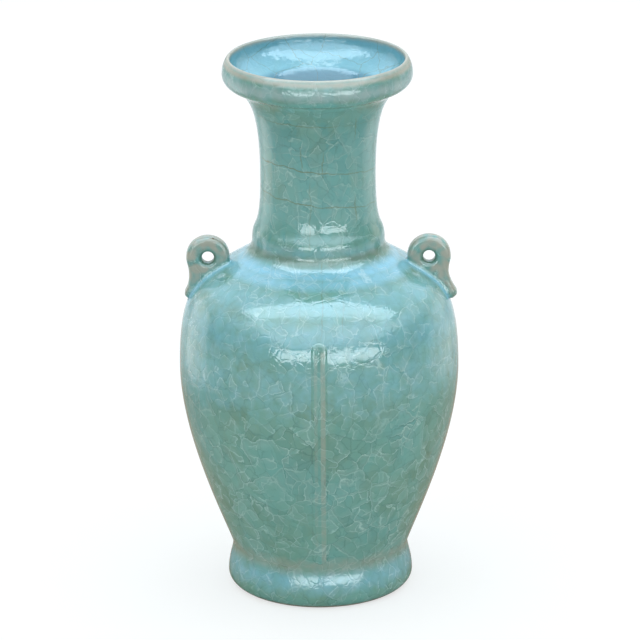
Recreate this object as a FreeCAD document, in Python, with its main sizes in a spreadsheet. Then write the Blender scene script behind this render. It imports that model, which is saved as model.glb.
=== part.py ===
import FreeCAD, Part
import math
import os
import Sketcher

# Lugged baluster vase of glazed stoneware: thrown sections luted together at lap joints, two pierced lugs
# and two low ribs. Millimetres, +Z up, the origin in the middle of the bearing edge, the lugs on the X axis.

FULL_TURN = 360
HALF_TURN = 180
QUARTER_TURN = 90
CLOSE = 1e-6  # two lengths nearer than this are the same

# The driving dimensions: alias, value, what it measures.
SIZES = [
    # heights of the sections, one on another
    ("foot_height", 30.5, "table to the waist above the foot"),
    ("lower_body_height", 137.9, "waist to the belly line"),
    ("shoulder_height", 88.7, "belly line to the neck's seat"),
    ("neck_height", 122.2, "neck's seat to the crease under the mouth"),
    ("mouth_height", 20.7, "crease to the crest of the lip"),
    # foot
    ("waist_radius", 64.4, "outside of the waist"),
    ("foot_spread", 3.5, "waist to the widest part of the foot, outwards"),
    ("foot_tuck", 6.1, "widest part of the foot to the bearing face, inwards"),
    ("bearing_width", 7.8, "width of the bearing face"),
    ("foot_swell_level", 8.3, "height of the widest part of the foot"),
    ("foot_edge_run", 0.8, "first reach of the curve off the bearing face"),
    ("foot_edge_rise", 4.0, "reach of that curve below the widest part"),
    ("foot_swell_reach", 9.6, "reach of the curve above the widest part"),
    ("waist_reach_down", 6.2, "reach of the foot's curve below the waist"),
    ("foot_wall", 6.5, "wall of the foot at the waist"),
    ("base_recess", 12.0, "table to the underside of the floor slab"),
    ("base_thickness", 8.0, "floor slab"),
    ("base_edge", 1.0, "bevel round the floor slab"),
    # body
    ("waist_reach_up", 6.5, "reach of the body's curve above the waist"),
    ("belly_radius", 101.9, "outside at the belly line"),
    ("belly_reach_down", 57.3, "reach of the curve below the belly line"),
    ("belly_reach_drop", 19.0, "neck's seat to the reach of the curve above the belly line"),
    ("seat_margin", 0.6, "foot of the neck to the outer edge of its seat"),
    ("slope_offset", 6.95, "midway from seat to belly, outwards to the reach of the shoulder's curve"),
    ("shoulder_slope_drop", 23.8, "reach of the shoulder's curve, downwards"),
    ("body_wall", 6.0, "wall of the body"),
    ("seat_depth", 8.0, "depth of clay round the neck's seat"),
    # neck
    ("neck_base_radius", 48.2, "outside of the neck at its seat"),
    ("neck_foot_reach", 23.9, "reach of the neck's curve above its seat"),
    ("neck_taper", 6.4, "foot of the neck to its narrowest part, inwards"),
    ("neck_waist_height", 55.6, "neck's seat to its narrowest part"),
    ("neck_reach_down", 45.7, "reach of the curve below the narrowest part"),
    ("neck_reach_up", 44.5, "reach of the curve above the narrowest part"),
    ("neck_flare", 19.2, "narrowest part to the crease under the mouth, outwards"),
    ("neck_flare_run", 12.7, "reach of the flare's curve, inwards from the crease"),
    ("neck_flare_drop", 6.5, "reach of the flare's curve, below the crease"),
    ("neck_wall", 6.0, "wall of the neck"),
    ("throat_ledge", 8.1, "groove under the mouth to the top of the throat, inwards"),
    ("throat_flare_run", 6.6, "reach of the throat's curve, inwards from the crease"),
    ("throat_flare_drop", 4.6, "reach of the throat's curve, below the crease"),
    # mouth
    ("rim_under_run", 2.0, "reach of the rim's curve, outwards from the crease"),
    ("rim_overhang", 7.7, "crease to the widest part of the rim, outwards"),
    ("rim_swell_height", 8.8, "crease to the widest part of the rim"),
    ("rim_reach_down", 5.4, "reach of the curve below the widest part"),
    ("rim_reach_up", 6.4, "reach of the curve above the widest part"),
    ("rim_wall", 4.5, "widest part of the rim to the crest of the lip"),
    ("crest_run", 1.3, "reach of the curve outwards from the crest"),
    ("lip_width", 1.6, "crest of the lip to its inner edge"),
    ("lip_drop", 2.5, "crest of the lip to where the dish begins"),
    ("lip_round", 1.2, "reach of the lip's inner rounding"),
    ("dish_reach", 7.0, "reach of the dish's curve below the lip"),
    ("dish_run", 8.3, "reach of the dish's curve, outwards from the throat"),
    ("dish_rise", 5.8, "reach of the dish's curve, above the throat"),
    # lap joints between the sections
    ("lap_height", 4.0, "height of the lap on a section's inner edge"),
    ("lap_thickness", 2.8, "thickness of that lap"),
    ("mouth_lap_height", 2.5, "height of the lap under the mouth"),
    ("mouth_lap_inset", 2.2, "crease to the lap under the mouth"),
    ("slip_gap", 0.3, "room for slip in every lap joint"),
    # lugs
    ("lug_offset", 5.0, "midway from seat to belly, outwards to the lug's hole"),
    ("lug_drop", 6.8, "neck's seat to the lug's hole, downwards"),
    ("lug_radius", 15.75, "round head of the lug"),
    ("lug_thickness", 11.0, "flat to flat"),
    ("lug_rounding", 3.4, "rounding of the lug's edges"),
    ("lug_tail_run", 14.0, "hole to the centre of the tail's knob, outwards"),
    ("lug_tail_drop", 27.2, "hole to the centre of the tail's knob, downwards"),
    ("lug_tail_radius", 4.6, "knob at the end of the tail"),
    ("lug_waist_radius", 25.0, "hollow between head and knob"),
    ("hole_radius", 4.35, "throat of the lug's hole"),
    ("hole_length", 3.6, "straight length of that throat, between rounded mouths"),
    # ribs
    ("rib_width", 12.0, "across the rib"),
    ("rib_height", 1.1, "how far it stands proud at the belly line"),
    ("rib_top_drop", 41.1, "neck's seat to the top of the rib"),
    ("rib_bottom_rise", 4.5, "waist to the bottom of the rib"),
    ("rib_edge", 0.6, "rounding along the rib's face"),
    ("rounding_share", 0.8, "most that a rounding takes of its wall"),
    # cutters
    ("overrun", 10.0, "how far a cutter passes what it cuts"),
]

# Levels and radii that follow from them: alias, formula.
DERIVED = [
    ("waist_level", "foot_height"),
    ("belly_level", "waist_level + lower_body_height"),
    ("seat_level", "belly_level + shoulder_height"),
    ("crease_level", "seat_level + neck_height"),
    ("crest_level", "crease_level + mouth_height"),
    # foot
    ("foot_radius", "waist_radius + foot_spread"),
    ("bearing_radius", "foot_radius - foot_tuck"),
    ("bearing_inner_radius", "bearing_radius - bearing_width"),
    ("foot_edge_radius", "bearing_radius + foot_edge_run"),
    ("foot_edge_level", "foot_swell_level - foot_edge_rise"),
    ("foot_upper_level", "foot_swell_level + foot_swell_reach"),
    ("waist_lower_level", "waist_level - waist_reach_down"),
    ("foot_inner_radius", "waist_radius - foot_wall"),
    ("foot_lap_radius", "foot_inner_radius + lap_thickness"),
    ("foot_lap_level", "waist_level + lap_height"),
    ("base_radius", "foot_inner_radius - slip_gap"),
    ("base_bevel_radius", "base_radius - base_edge"),
    ("base_top_level", "base_recess + base_thickness"),
    ("base_bevel_low", "base_recess + base_edge"),
    ("base_bevel_high", "base_top_level - base_edge"),
    # body
    ("foot_rebate_radius", "foot_lap_radius + slip_gap"),
    ("foot_rebate_level", "foot_lap_level + slip_gap"),
    ("waist_upper_level", "waist_level + waist_reach_up"),
    ("waist_inner_upper_level", "foot_rebate_level + waist_reach_up"),
    ("belly_lower_level", "belly_level - belly_reach_down"),
    ("belly_upper_level", "seat_level - belly_reach_drop"),
    ("belly_inner_radius", "belly_radius - body_wall"),
    ("belly_lap_radius", "belly_inner_radius + lap_thickness"),
    ("belly_lap_level", "belly_level + lap_height"),
    ("belly_rebate_radius", "belly_lap_radius + slip_gap"),
    ("belly_rebate_level", "belly_lap_level + slip_gap"),
    ("shoulder_radius", "neck_base_radius + seat_margin"),
    ("shoulder_middle_radius", "(shoulder_radius + belly_radius) / 2"),
    ("shoulder_slope_radius", "shoulder_middle_radius + slope_offset"),
    ("shoulder_slope_run", "shoulder_slope_radius - shoulder_radius"),
    ("slope_length", "sqrt(shoulder_slope_run ^ 2 + shoulder_slope_drop ^ 2)"),
    ("shoulder_slope_level", "seat_level - shoulder_slope_drop"),
    ("shoulder_slope_inner_radius", "shoulder_slope_radius - body_wall * shoulder_slope_drop / slope_length"),
    ("shoulder_slope_inner_level", "shoulder_slope_level - body_wall * shoulder_slope_run / slope_length"),
    ("seat_under_level", "seat_level - seat_depth"),
    # neck
    ("neck_radius", "neck_base_radius - neck_taper"),
    ("crease_radius", "neck_radius + neck_flare"),
    ("neck_base_inner_radius", "neck_base_radius - neck_wall"),
    ("neck_lap_radius", "neck_base_inner_radius + lap_thickness"),
    ("neck_lap_level", "seat_level + lap_height"),
    ("neck_rebate_radius", "neck_lap_radius + slip_gap"),
    ("neck_rebate_level", "neck_lap_level + slip_gap"),
    ("neck_foot_level", "seat_level + neck_foot_reach"),
    ("neck_waist_level", "seat_level + neck_waist_height"),
    ("neck_lower_level", "neck_waist_level - neck_reach_down"),
    ("neck_upper_level", "neck_waist_level + neck_reach_up"),
    ("neck_flare_radius", "crease_radius - neck_flare_run"),
    ("neck_flare_level", "crease_level - neck_flare_drop"),
    ("throat_radius", "neck_radius - neck_wall"),
    ("throat_flare_level", "crease_level - throat_flare_drop"),
    # mouth
    ("mouth_lap_outer_radius", "crease_radius - mouth_lap_inset"),
    ("mouth_lap_inner_radius", "mouth_lap_outer_radius - lap_thickness"),
    ("mouth_lap_level", "crease_level + mouth_lap_height"),
    ("mouth_groove_outer_radius", "mouth_lap_outer_radius + slip_gap"),
    ("mouth_groove_inner_radius", "mouth_lap_inner_radius - slip_gap"),
    ("mouth_groove_level", "mouth_lap_level + slip_gap"),
    ("throat_top_radius", "mouth_groove_inner_radius - throat_ledge"),
    ("throat_flare_radius", "throat_top_radius - throat_flare_run"),
    ("rim_under_radius", "crease_radius + rim_under_run"),
    ("rim_swell_level", "crease_level + rim_swell_height"),
    ("rim_lower_level", "rim_swell_level - rim_reach_down"),
    ("rim_upper_level", "rim_swell_level + rim_reach_up"),
    ("rim_radius", "crease_radius + rim_overhang"),
    ("crest_radius", "rim_radius - rim_wall"),
    ("crest_outer_radius", "crest_radius + crest_run"),
    ("lip_radius", "crest_radius - lip_width"),
    ("lip_level", "crest_level - lip_drop"),
    ("lip_round_radius", "lip_radius + lip_width - lip_round"),
    ("lip_round_level", "lip_level + lip_round"),
    ("dish_upper_level", "lip_level - dish_reach"),
    ("dish_lower_radius", "throat_top_radius + dish_run"),
    ("dish_lower_level", "crease_level + dish_rise"),
    # lugs
    ("lug_reach", "shoulder_middle_radius + lug_offset"),
    ("lug_level", "seat_level - lug_drop"),
    ("lug_root_depth", "lug_tail_drop + lug_tail_radius"),
    ("lug_half_thickness", "lug_thickness / 2"),
    ("lug_edge", "min(lug_rounding; lug_half_thickness * rounding_share; lug_tail_radius * rounding_share)"),
    ("hole_flare", "(lug_thickness - hole_length) / 2"),
    # ribs
    ("rib_top_level", "seat_level - rib_top_drop"),
    ("rib_bottom_level", "waist_level + rib_bottom_rise"),
    ("rib_half_width", "rib_width / 2"),
    ("rib_rounding", "min(rib_edge; rib_height * rounding_share)"),
    ("rib_upper_centre", "rib_top_level - rib_half_width"),
    ("rib_lower_centre", "rib_bottom_level + rib_half_width"),
    ("rib_waist_radius", "waist_radius + rib_height"),
    ("rib_belly_radius", "belly_radius + rib_height"),
    ("rib_slope_radius", "shoulder_slope_radius + rib_height"),
    ("rib_shoulder_radius", "shoulder_radius + rib_height"),
    ("rib_frame_width", "2 * (belly_radius + overrun)"),
]

# Points of the cut, each a radius and a level of the sheet. None puts a point on the axis or on the table.
WAIST = ("waist_radius", "waist_level")
BELLY = ("belly_radius", "belly_level")
SHOULDER_EDGE = ("shoulder_radius", "seat_level")
NECK_WAIST = ("neck_radius", "neck_waist_level")
CREASE = ("crease_radius", "crease_level")
THROAT_TOP = ("throat_top_radius", "crease_level")
RIM_SWELL = ("rim_radius", "rim_swell_level")
CREST = ("crest_radius", "crest_level")
LOWER_BODY_SIDE = [("waist_radius", "waist_upper_level"), ("belly_radius", "belly_lower_level"), BELLY]
SHOULDER_SIDE = [("belly_radius", "belly_upper_level"), ("shoulder_slope_radius", "shoulder_slope_level"),
                 SHOULDER_EDGE]
BODY_SIDE = [[WAIST], LOWER_BODY_SIDE, SHOULDER_SIDE]

doc = FreeCAD.newDocument("lugged_vase")
sheet = doc.addObject("Spreadsheet::Sheet", "Sizes")


def fill_sheet():
    """Puts the driving dimensions and what follows from them into the sheet, one to a row."""
    for row, (alias, value, note) in enumerate(SIZES, start=1):
        sheet.set(f"A{row}", alias)
        sheet.set(f"B{row}", str(value))
        sheet.set(f"C{row}", note)
        sheet.setAlias(f"B{row}", alias)
    for row, (alias, formula) in enumerate(DERIVED, start=len(SIZES) + 1):
        sheet.set(f"A{row}", alias)
        sheet.set(f"B{row}", f"={formula}")
        sheet.setAlias(f"B{row}", alias)
    doc.recompute()


def size(alias):
    """The sheet's value, where an outline is first drawn before its constraints hold it."""
    return sheet.get(alias) if alias else 0


def spot(point):
    return FreeCAD.Vector(size(point[0]), size(point[1]), 0)


def origin_plane(body, role):
    return next(plane for plane in body.Origin.OriginFeatures if plane.Role == role)


def new_sketch(body, name, role):
    """An empty sketch on one of the body's own origin planes."""
    sketch = body.newObject("Sketcher::SketchObject", name)
    sketch.AttachmentSupport = [(origin_plane(body, role), "")]
    sketch.MapMode = "FlatFace"
    doc.recompute()
    return sketch


def hold(sketch, kind, alias, *where):
    """Adds a dimension to the sketch and binds it to the sheet."""
    number = sketch.addConstraint(Sketcher.Constraint(kind, *where, float(size(alias))))
    sketch.renameConstraint(number, f"{alias}_{number}")
    sketch.setExpression(f"Constraints.{alias}_{number}", f"Sizes.{alias}")


def hold_point(sketch, item, end, point):
    """Holds a point of the sketch at its radius and level; None puts it on the axis or on the table."""
    for kind, alias, axis in (("DistanceX", point[0], -2), ("DistanceY", point[1], -1)):
        if alias:
            hold(sketch, kind, alias, -1, 1, item, end)
        else:
            sketch.addConstraint(Sketcher.Constraint("PointOnObject", item, end, axis))


def add_line(sketch, first, last):
    line = sketch.addGeometry(Part.LineSegment(spot(first), spot(last)), False)
    hold_point(sketch, line, 2, last)
    return line


def add_curve(sketch, first, *others):
    """A curve with four poles: it leaves the first towards the second and reaches the last from the third."""
    poles = [spot(point) for point in (first, *others)]
    curve = Part.BSplineCurve()
    curve.buildFromPolesMultsKnots(poles, [4, 4], [0, 1], False, 3, [1] * len(poles))
    item = sketch.addGeometry(curve, False)
    marks = [sketch.addGeometry(Part.Circle(pole, FreeCAD.Vector(0, 0, 1), 1), True) for pole in poles]
    for number, mark in enumerate(marks):
        kind = "InternalAlignment:Sketcher::BSplineControlPoint"
        sketch.addConstraint(Sketcher.Constraint(kind, mark, 3, item, number))
        sketch.addConstraint(Sketcher.Constraint("Weight", mark, 1))
    for mark, point in zip(marks[1:], others):
        hold_point(sketch, mark, 3, point)
    return item


def draw_outline(sketch, start, runs):
    """A closed outline from its start: a run of one point is a line to it, a run of three a curve."""
    here, items = start, []
    for run in runs:
        items.append(add_line(sketch, here, *run) if len(run) == 1 else add_curve(sketch, here, *run))
        here = run[-1]
    closing = sketch.addGeometry(Part.LineSegment(spot(here), spot(start)), False)
    hold_point(sketch, closing, 2, start)
    items.append(closing)
    for before, after in zip(items, items[1:] + items[:1]):
        sketch.addConstraint(Sketcher.Constraint("Coincident", before, 2, after, 1))


def turn_section(name, start, runs):
    """A section of the vase, turned about the axis from half of its cut."""
    body = doc.addObject("PartDesign::Body", name)
    sketch = new_sketch(body, f"{name}_cut", "XZ_Plane")
    draw_outline(sketch, start, runs)
    turned = body.newObject("PartDesign::Revolution", f"{name}_turned")
    turned.Profile = sketch
    turned.ReferenceAxis = (sketch, ["V_Axis"])
    turned.Angle = FULL_TURN
    doc.recompute()
    return body


def make_foot_ring():
    """Spreading foot: bearing face, swelled outside, a ledge for the floor slab and a lap for the body."""
    return turn_section("foot_ring", ("bearing_inner_radius", None), [
        [("bearing_radius", None)],
        [("foot_edge_radius", None), ("foot_radius", "foot_edge_level"), ("foot_radius", "foot_swell_level")],
        [("foot_radius", "foot_upper_level"), ("waist_radius", "waist_lower_level"), WAIST],
        [("foot_lap_radius", "waist_level")],
        [("foot_lap_radius", "foot_lap_level")],
        [("foot_inner_radius", "foot_lap_level")],
        [("foot_inner_radius", "base_recess")],
        [("bearing_inner_radius", "base_recess")],
    ])


def make_base_disc():
    """Floor slab, dropped onto the ledge inside the foot."""
    return turn_section("base_disc", (None, "base_recess"), [
        [("base_bevel_radius", "base_recess")],
        [("base_radius", "base_bevel_low")],
        [("base_radius", "base_bevel_high")],
        [("base_bevel_radius", "base_top_level")],
        [(None, "base_top_level")],
    ])


def make_lower_body():
    """Lower half of the body, rebated over the foot's lap, with a lap of its own at the belly line."""
    return turn_section("lower_body", ("foot_rebate_radius", "waist_level"), [
        [WAIST],
        LOWER_BODY_SIDE,
        [("belly_lap_radius", "belly_level")],
        [("belly_lap_radius", "belly_lap_level")],
        [("belly_inner_radius", "belly_lap_level")],
        [("belly_inner_radius", "belly_level")],
        [("belly_inner_radius", "belly_lower_level"), ("foot_inner_radius", "waist_inner_upper_level"),
         ("foot_inner_radius", "foot_rebate_level")],
        [("foot_rebate_radius", "foot_rebate_level")],
    ])


def make_shoulder():
    """Upper half of the body, from the belly line to the neck's seat, with a lap inside the neck."""
    return turn_section("shoulder", ("belly_rebate_radius", "belly_level"), [
        [BELLY],
        SHOULDER_SIDE,
        [("neck_lap_radius", "seat_level")],
        [("neck_lap_radius", "neck_lap_level")],
        [("neck_base_inner_radius", "neck_lap_level")],
        [("neck_base_inner_radius", "seat_under_level")],
        [("shoulder_slope_inner_radius", "shoulder_slope_inner_level"),
         ("belly_inner_radius", "belly_upper_level"), ("belly_inner_radius", "belly_rebate_level")],
        [("belly_rebate_radius", "belly_rebate_level")],
    ])


def make_neck():
    """Long neck: flared down to its seat and out to the crease, with a lap for the mouth."""
    return turn_section("neck", ("neck_rebate_radius", "seat_level"), [
        [("neck_base_radius", "seat_level")],
        [("neck_base_radius", "neck_foot_level"), ("neck_radius", "neck_lower_level"), NECK_WAIST],
        [("neck_radius", "neck_upper_level"), ("neck_flare_radius", "neck_flare_level"), CREASE],
        [("mouth_lap_outer_radius", "crease_level")],
        [("mouth_lap_outer_radius", "mouth_lap_level")],
        [("mouth_lap_inner_radius", "mouth_lap_level")],
        [("mouth_lap_inner_radius", "crease_level")],
        [THROAT_TOP],
        [("throat_flare_radius", "throat_flare_level"), ("throat_radius", "neck_upper_level"),
         ("throat_radius", "neck_waist_level")],
        [("throat_radius", "neck_lower_level"), ("neck_base_inner_radius", "neck_foot_level"),
         ("neck_base_inner_radius", "neck_rebate_level")],
        [("neck_rebate_radius", "neck_rebate_level")],
    ])


def make_mouth_rim():
    """Thick dished mouth: swelled outside, round lip, grooved underneath for the neck's lap."""
    return turn_section("mouth_rim", ("mouth_groove_outer_radius", "crease_level"), [
        [CREASE],
        [("rim_under_radius", "crease_level"), ("rim_radius", "rim_lower_level"), RIM_SWELL],
        [("rim_radius", "rim_upper_level"), ("crest_outer_radius", "crest_level"), CREST],
        [("lip_round_radius", "crest_level"), ("lip_radius", "lip_round_level"), ("lip_radius", "lip_level")],
        [("lip_radius", "dish_upper_level"), ("dish_lower_radius", "dish_lower_level"), THROAT_TOP],
        [("mouth_groove_inner_radius", "crease_level")],
        [("mouth_groove_inner_radius", "mouth_groove_level")],
        [("mouth_groove_outer_radius", "mouth_groove_level")],
    ])


def edge_name(feature, edge):
    """The name of one of a feature's edges, as the features built on it want it."""
    edges = enumerate(feature.Shape.Edges, start=1)
    return next(f"Edge{number}" for number, other in edges if other.isSame(edge))


def round_edges(body, name, feature, edges, alias):
    rounding = body.newObject("PartDesign::Fillet", name)
    rounding.Base = (feature, edges)
    rounding.setExpression("Radius", f"Sizes.{alias}")
    doc.recompute()
    must_cut(body, feature.Shape.Volume)


def must_cut(body, whole):
    """A cut that points away from the solid leaves it whole and says nothing, so its volume is compared."""
    if not body.Shape.Volume < whole:
        raise RuntimeError(f"a cut of {body.Label} took nothing away")


def is_rim(edge, radius):
    """A whole circle of the given radius, such as a hole leaves in a flat face."""
    return isinstance(edge.Curve, Part.Circle) and abs(edge.Curve.Radius - radius) < CLOSE and edge.isClosed()


def place(body, turn, reach=None, level=None):
    """Turns the body about the vase's axis, and sets it out along its own +X and up."""
    body.Placement = FreeCAD.Placement(FreeCAD.Vector(), FreeCAD.Rotation(FreeCAD.Vector(0, 0, 1), turn))
    if reach:
        body.setExpression("Placement.Base.x", f"Sizes.{reach} * cos({turn})")
        body.setExpression("Placement.Base.z", f"Sizes.{level}")
    doc.recompute()


def add_arc(sketch, centre, alias, start, end):
    circle = Part.Circle(centre, FreeCAD.Vector(0, 0, 1), size(alias))
    arc = sketch.addGeometry(Part.ArcOfCircle(circle, start, end), False)
    hold(sketch, "Radius", alias, arc)
    return arc


def draw_lug(sketch):
    """Round head about the hole, a hollow below it and the knob that ends the tail, down to a deep root."""
    head, knob = FreeCAD.Vector(0, 0, 0), FreeCAD.Vector(size("lug_tail_run"), -size("lug_tail_drop"), 0)
    to_head = size("lug_waist_radius") + size("lug_radius")
    to_knob = size("lug_waist_radius") + size("lug_tail_radius")
    apart = knob.Length
    along = (apart ** 2 + to_head ** 2 - to_knob ** 2) / (apart + apart)
    aside = math.sqrt(to_head ** 2 - along ** 2)
    down = FreeCAD.Vector(knob).normalize()
    hollow = down * along + FreeCAD.Vector(-down.y, down.x, 0) * aside
    to_hollow = math.atan2(hollow.y, hollow.x)
    from_knob = math.atan2(hollow.y - knob.y, hollow.x - knob.x)
    arc_head = add_arc(sketch, head, "lug_radius", to_hollow, math.pi)
    arc_hollow = add_arc(sketch, hollow, "lug_waist_radius", to_hollow + math.pi, from_knob + math.pi)
    arc_knob = add_arc(sketch, knob, "lug_tail_radius", -math.pi / 2, from_knob)
    left, root = -size("lug_radius"), -size("lug_root_depth")
    corner = FreeCAD.Vector(left, root, 0)
    bottom = sketch.addGeometry(Part.LineSegment(FreeCAD.Vector(knob.x, root, 0), corner), False)
    side = sketch.addGeometry(Part.LineSegment(corner, FreeCAD.Vector(left, 0, 0)), False)
    sketch.addConstraint(Sketcher.Constraint("Coincident", arc_head, 3, -1, 1))
    sketch.addConstraint(Sketcher.Constraint("PointOnObject", arc_head, 2, -1))
    sketch.addConstraint(Sketcher.Constraint("Tangent", arc_head, 1, arc_hollow, 1))
    sketch.addConstraint(Sketcher.Constraint("Tangent", arc_hollow, 2, arc_knob, 2))
    sketch.addConstraint(Sketcher.Constraint("Tangent", arc_knob, 1, bottom, 1))
    sketch.addConstraint(Sketcher.Constraint("Coincident", bottom, 2, side, 1))
    sketch.addConstraint(Sketcher.Constraint("Coincident", side, 2, arc_head, 2))
    sketch.addConstraint(Sketcher.Constraint("Horizontal", bottom))
    sketch.addConstraint(Sketcher.Constraint("Vertical", side))
    hold(sketch, "DistanceX", "lug_tail_run", -1, 1, arc_knob, 3)
    hold(sketch, "DistanceY", "lug_tail_drop", arc_knob, 3, -1, 1)


def make_lug(name, turn):
    """Pierced lug, cut to sit on the shoulder: modelled about its own hole, then turned to its side."""
    body = doc.addObject("PartDesign::Body", name)
    outline = new_sketch(body, f"{name}_outline", "XZ_Plane")
    draw_lug(outline)
    plate = body.newObject("PartDesign::Pad", f"{name}_plate")
    plate.Profile = outline
    plate.Midplane = True
    plate.setExpression("Length", "Sizes.lug_thickness")
    doc.recompute()
    edges = [edge_name(plate, edge) for edge in plate.Shape.Edges if edge.BoundBox.YLength < CLOSE]
    round_edges(body, f"{name}_rounding", plate, edges, "lug_edge")

    bore = new_sketch(body, f"{name}_bore", "XZ_Plane")
    wall = Part.Circle(FreeCAD.Vector(), FreeCAD.Vector(0, 0, 1), size("hole_radius"))
    circle = bore.addGeometry(wall, False)
    bore.addConstraint(Sketcher.Constraint("Coincident", circle, 3, -1, 1))
    hold(bore, "Radius", "hole_radius", circle)
    hole = body.newObject("PartDesign::Pocket", f"{name}_hole")
    hole.Profile = bore
    hole.Type = "ThroughAll"
    hole.Midplane = True
    doc.recompute()
    rims = [edge_name(hole, edge) for edge in hole.Shape.Edges if is_rim(edge, size("hole_radius"))]
    round_edges(body, f"{name}_hole_mouths", hole, rims, "hole_flare")

    seat = new_sketch(body, f"{name}_seat", "XZ_Plane")
    draw_outline(seat, (None, "waist_level"), BODY_SIDE + [[(None, "seat_level")]])
    seat.setExpression("AttachmentOffset.Base.x", "-Sizes.lug_reach")
    seat.setExpression("AttachmentOffset.Base.y", "-Sizes.lug_level")
    whole = body.Shape.Volume
    cut = body.newObject("PartDesign::Groove", f"{name}_seat_cut")
    cut.Profile = seat
    cut.ReferenceAxis = (seat, ["V_Axis"])
    cut.Angle = FULL_TURN
    doc.recompute()
    must_cut(body, whole)
    place(body, turn, "lug_reach", "lug_level")
    return body


def draw_trim(sketch):
    """What is cut away round a rib: a wide frame with a round-ended slot left in it."""
    wide, high = size("rib_frame_width") / 2, size("crest_level")
    corners = [FreeCAD.Vector(*place, 0) for place in ((-wide, 0), (wide, 0), (wide, high), (-wide, high))]
    frame = [sketch.addGeometry(Part.LineSegment(first, last), False)
             for first, last in zip(corners, corners[1:] + corners[:1])]
    for line, after, kind in zip(frame, frame[1:] + frame[:1], ("Horizontal", "Vertical") * 2):
        sketch.addConstraint(Sketcher.Constraint("Coincident", line, 2, after, 1))
        sketch.addConstraint(Sketcher.Constraint(kind, line))
    sketch.addConstraint(Sketcher.Constraint("Symmetric", frame[0], 1, frame[0], 2, -1, 1))
    hold(sketch, "DistanceX", "rib_frame_width", frame[0], 1, frame[0], 2)
    hold(sketch, "DistanceY", "crest_level", frame[1], 1, frame[1], 2)

    half = size("rib_half_width")
    upper, lower = (FreeCAD.Vector(0, size(level), 0) for level in ("rib_upper_centre", "rib_lower_centre"))
    aside = FreeCAD.Vector(half, 0, 0)
    top = add_arc(sketch, upper, "rib_half_width", 0, math.pi)
    bottom = sketch.addGeometry(
        Part.ArcOfCircle(Part.Circle(lower, FreeCAD.Vector(0, 0, 1), half), math.pi, math.tau), False)
    right = sketch.addGeometry(Part.LineSegment(lower + aside, upper + aside), False)
    left = sketch.addGeometry(Part.LineSegment(upper - aside, lower - aside), False)
    for before, after in ((right, top), (top, left), (left, bottom), (bottom, right)):
        sketch.addConstraint(Sketcher.Constraint("Tangent", before, 2, after, 1))
    sketch.addConstraint(Sketcher.Constraint("Equal", top, bottom))
    for arc, level in ((top, "rib_upper_centre"), (bottom, "rib_lower_centre")):
        sketch.addConstraint(Sketcher.Constraint("PointOnObject", arc, 3, -2))
        hold(sketch, "DistanceY", level, -1, 1, arc, 3)


def make_rib(name, turn, halves):
    """Low strip down the body, round at both ends: cut from a shell that lies on the body's two halves."""
    body = doc.addObject("PartDesign::Body", name)
    section = new_sketch(body, f"{name}_section", "XZ_Plane")
    draw_outline(section, WAIST, [
        LOWER_BODY_SIDE,
        SHOULDER_SIDE,
        [("rib_shoulder_radius", "seat_level")],
        [("rib_slope_radius", "shoulder_slope_level"), ("rib_belly_radius", "belly_upper_level"),
         ("rib_belly_radius", "belly_level")],
        [("rib_belly_radius", "belly_lower_level"), ("rib_waist_radius", "waist_upper_level"),
         ("rib_waist_radius", "waist_level")],
    ])
    shell = body.newObject("PartDesign::Revolution", f"{name}_shell")
    shell.Profile = section
    shell.ReferenceAxis = (section, ["V_Axis"])
    shell.Midplane = True
    shell.Angle = HALF_TURN
    trim = new_sketch(body, f"{name}_trim", "YZ_Plane")
    draw_trim(trim)
    whole = body.Shape.Volume
    strip = body.newObject("PartDesign::Pocket", f"{name}_strip")
    strip.Profile = trim
    strip.Type = "ThroughAll"
    strip.Reversed = True
    doc.recompute()
    must_cut(body, whole)
    proud = size("rib_height") * size("rounding_share") / 2
    edges = [edge_name(strip, edge) for edge in strip.Shape.Edges
             if all(min(corner.distToShape(half.Shape)[0] for half in halves) > proud
                    for corner in edge.Vertexes)]
    round_edges(body, f"{name}_rounding", strip, edges, "rib_rounding")
    place(body, turn)
    return body


def build():
    """Makes every piece, from the table up."""
    fill_sheet()
    foot = [make_foot_ring(), make_base_disc()]
    halves = [make_lower_body(), make_shoulder()]
    top = [make_neck(), make_mouth_rim()]
    lugs = [make_lug("right_lug", 0), make_lug("left_lug", HALF_TURN)]
    ribs = [make_rib("front_rib", -QUARTER_TURN, halves), make_rib("back_rib", QUARTER_TURN, halves)]
    return foot + halves + top + lugs + ribs


def check(pieces):
    """Stops at any object that failed and at any piece that isn't one valid solid."""
    for thing in doc.Objects:
        if {"Invalid", "Error"} & set(thing.State):
            raise RuntimeError(f"{thing.Label} failed: {thing.State}")
    for piece in pieces:
        shape = piece.Shape
        if shape.isNull() or not shape.isValid() or len(shape.Solids) != 1:
            raise RuntimeError(f"{piece.Label} isn't one valid solid")


def write(pieces):
    os.makedirs("parts", exist_ok=True)
    for piece in pieces:
        piece.Shape.exportStep(f"parts/{piece.Label}.step")
        box = piece.Shape.BoundBox
        print(f"{piece.Label}: {piece.Shape.Volume / 1000:.1f} cm3, from {box.ZMin:.1f} to {box.ZMax:.1f} mm")


parts = build()
check(parts)
write(parts)
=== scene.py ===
import bmesh
import bpy
import math
from mathutils import Matrix, Vector, noise
from mathutils.bvhtree import BVHTree
from mathutils.geometry import interpolate_bezier


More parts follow.
